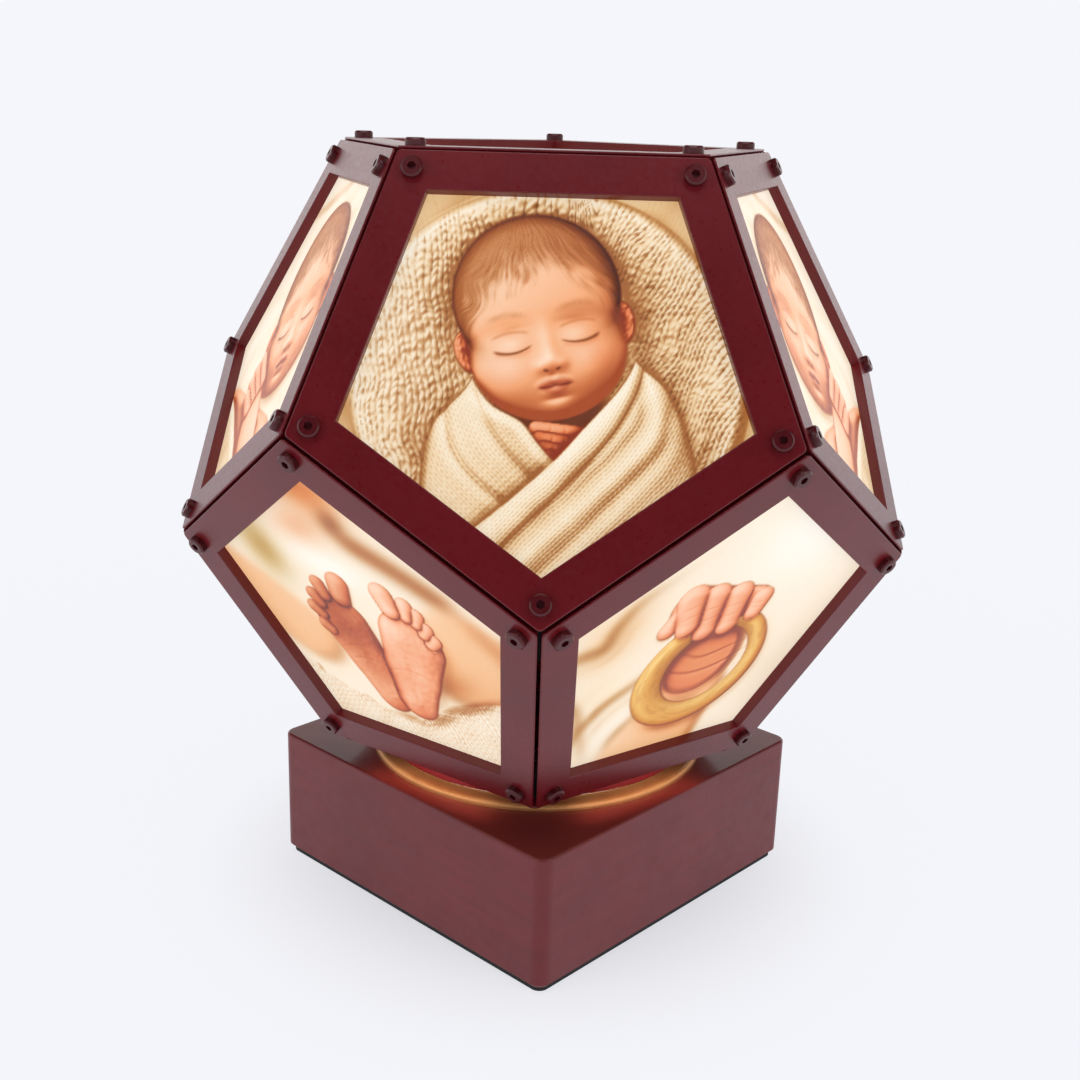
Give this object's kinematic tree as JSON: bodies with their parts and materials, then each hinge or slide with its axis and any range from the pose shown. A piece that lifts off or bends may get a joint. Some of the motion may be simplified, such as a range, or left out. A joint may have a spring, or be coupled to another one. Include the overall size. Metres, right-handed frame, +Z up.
{
  "type": "rotating photo lamp",
  "caption": "Photo lamp: a lit pentagon-faced head with a photo print behind each framed window turns on a square lacquered base.",
  "frame": {"origin": "middle of the footprint, on the surface that the lamp stands on; the head's axis passes through it", "axes": "+Z up along the head's turning axis, X and Y along the base's sides, +Y towards the side with the inlet and the switch"},
  "size_m": [0.2152, 0.2176, 0.2307],
  "materials": {
    "panel_paint": "satin",
    "screw_paint": "satin",
    "case_lacquer": "burgundy lacquer",
    "photo_paper": "backlit print",
    "opal_sheet": "opal",
    "black_nylon": "moulded",
    "black_plastic": "moulded",
    "white_acetal": "machined",
    "white_plastic": "moulded",
    "zinc_steel": "zinc plated",
    "ring_brass": "satin",
    "bare_wood": "planed",
    "foot_rubber": "matte",
    "opal_globe": "opal",
    "board_laminate": "solder mask",
    "motor_can": "drawn can",
    "lead_jacket": "cable jacket"
  },
  "bodies": {
    "base": {"base_case": "case_lacquer", "base_plate": "black_plastic", "bearing_bush": "ring_brass", "bearing_ring": "ring_brass", "board_standoffs": "white_plastic", "bracket_screws": "zinc_steel", "corner_blocks": "bare_wood", "driver_board": "board_laminate", "foot_pad": "foot_rubber", "glide_ring": "white_acetal", "inlet_lead": "lead_jacket", "inlet_nut": "zinc_steel", "lamp_globe": "opal_globe", "lamp_holder": "white_plastic", "lamp_lead": "lead_jacket", "lamp_post": "zinc_steel", "led_board": "board_laminate", "motor": "motor_can", "motor_bracket": "zinc_steel", "motor_lead": "lead_jacket", "plate_screws": "zinc_steel", "power_inlet": "black_plastic", "switch_body": "black_plastic", "switch_nut": "zinc_steel"},
    "head": {"diffuser_top": "opal_sheet", "diffusers_lower": "opal_sheet", "diffusers_upper": "opal_sheet", "panel_bottom": "panel_paint", "panel_lower_1": "panel_paint", "panel_lower_2": "panel_paint", "panel_lower_3": "panel_paint", "panel_lower_4": "panel_paint", "panel_lower_5": "panel_paint", "panel_screws_lower": "screw_paint", "panel_screws_upper": "screw_paint", "panel_top": "panel_paint", "panel_upper_1": "panel_paint", "panel_upper_2": "panel_paint", "panel_upper_3": "panel_paint", "panel_upper_4": "panel_paint", "panel_upper_5": "panel_paint", "photo_print_lower_1": "photo_paper", "photo_print_lower_2": "photo_paper", "photo_print_lower_3": "photo_paper", "photo_print_lower_4": "photo_paper", "photo_print_lower_5": "photo_paper", "photo_print_top": "photo_paper", "photo_print_upper_1": "photo_paper", "photo_print_upper_2": "photo_paper", "photo_print_upper_3": "photo_paper", "photo_print_upper_4": "photo_paper", "photo_print_upper_5": "photo_paper", "corner_brackets": "black_nylon", "turntable": "panel_paint", "turntable_screws": "zinc_steel", "hub_gear": "white_acetal"},
    "pinion": {"drive_pinion": "white_acetal", "motor_shaft": "zinc_steel"},
    "button": {"power_button": "black_plastic"}
  },
  "joints": [
    {"name": "head_spin", "type": "hinge", "parent": "base", "child": "head", "pos_m": [0, 0, 0.0445], "axis": [0, 0, 1], "continuous": true},
    {"name": "pinion_spin", "type": "hinge", "parent": "base", "child": "pinion", "pos_m": [-0.02363, -0.00417, 0.028], "axis": [0, 0, 1], "continuous": true},
    {"name": "button_press", "type": "slide", "parent": "base", "child": "button", "axis": [0, -1, 0], "range_m": [0, 0.0015], "stiffness_N_per_m": 400, "springref_m": -0.002}
  ],
  "couplings": [
    {"joint": "pinion_spin", "follows": "head_spin", "ratio": -2}
  ]
}
